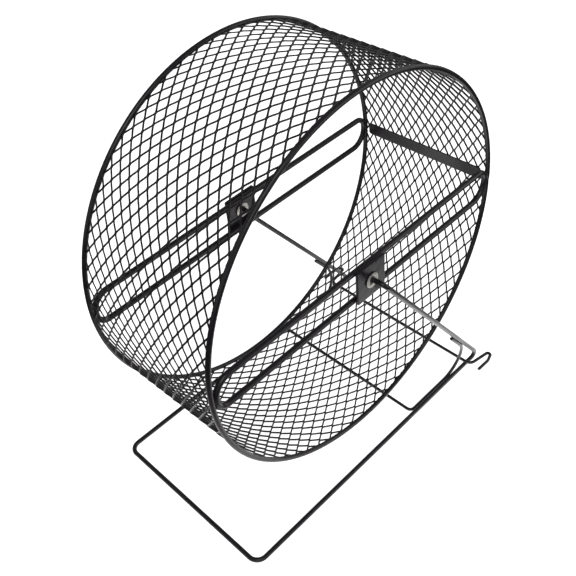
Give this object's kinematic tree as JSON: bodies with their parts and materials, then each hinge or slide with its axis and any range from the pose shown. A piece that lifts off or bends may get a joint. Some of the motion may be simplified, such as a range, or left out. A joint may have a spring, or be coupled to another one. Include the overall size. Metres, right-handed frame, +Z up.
{
  "type": "hamster wheel",
  "caption": "Free-standing wire hamster wheel: expanded-metal drum between two wire rims, turning by flanged eyelets on the stubs of a bent wire stand with rear hooks.",
  "frame": {"origin": "on the floor, at the middle of the bounding box's bottom, straight below the middle of the axle", "axes": "+Z up, +Y along the axle to the far side, +X to the rear, where the stand folds up and the hooks are"},
  "size_m": [0.2836, 0.1808, 0.3083],
  "materials": {
    "black_paint": "satin black paint over steel",
    "zinc": "dull yellowish zinc plate"
  },
  "bodies": {
    "stand": {"stand_wire": "black_paint", "brace_wire": "black_paint", "hook_wire": "black_paint"},
    "wheel": {"rim_near": "black_paint", "rim_far": "black_paint", "running_mesh": "black_paint", "seam_strip": "black_paint", "spoke_loop_near": "black_paint", "spoke_loop_far": "black_paint", "hub_plate_near": "black_paint", "hub_plate_far": "black_paint", "hub_bush_near": "zinc", "hub_bush_far": "zinc"}
  },
  "joints": [
    {"name": "wheel_spin", "type": "hinge", "parent": "stand", "child": "wheel", "pos_m": [0, 0, 0.1665], "axis": [0, 1, 0], "continuous": true}
  ]
}
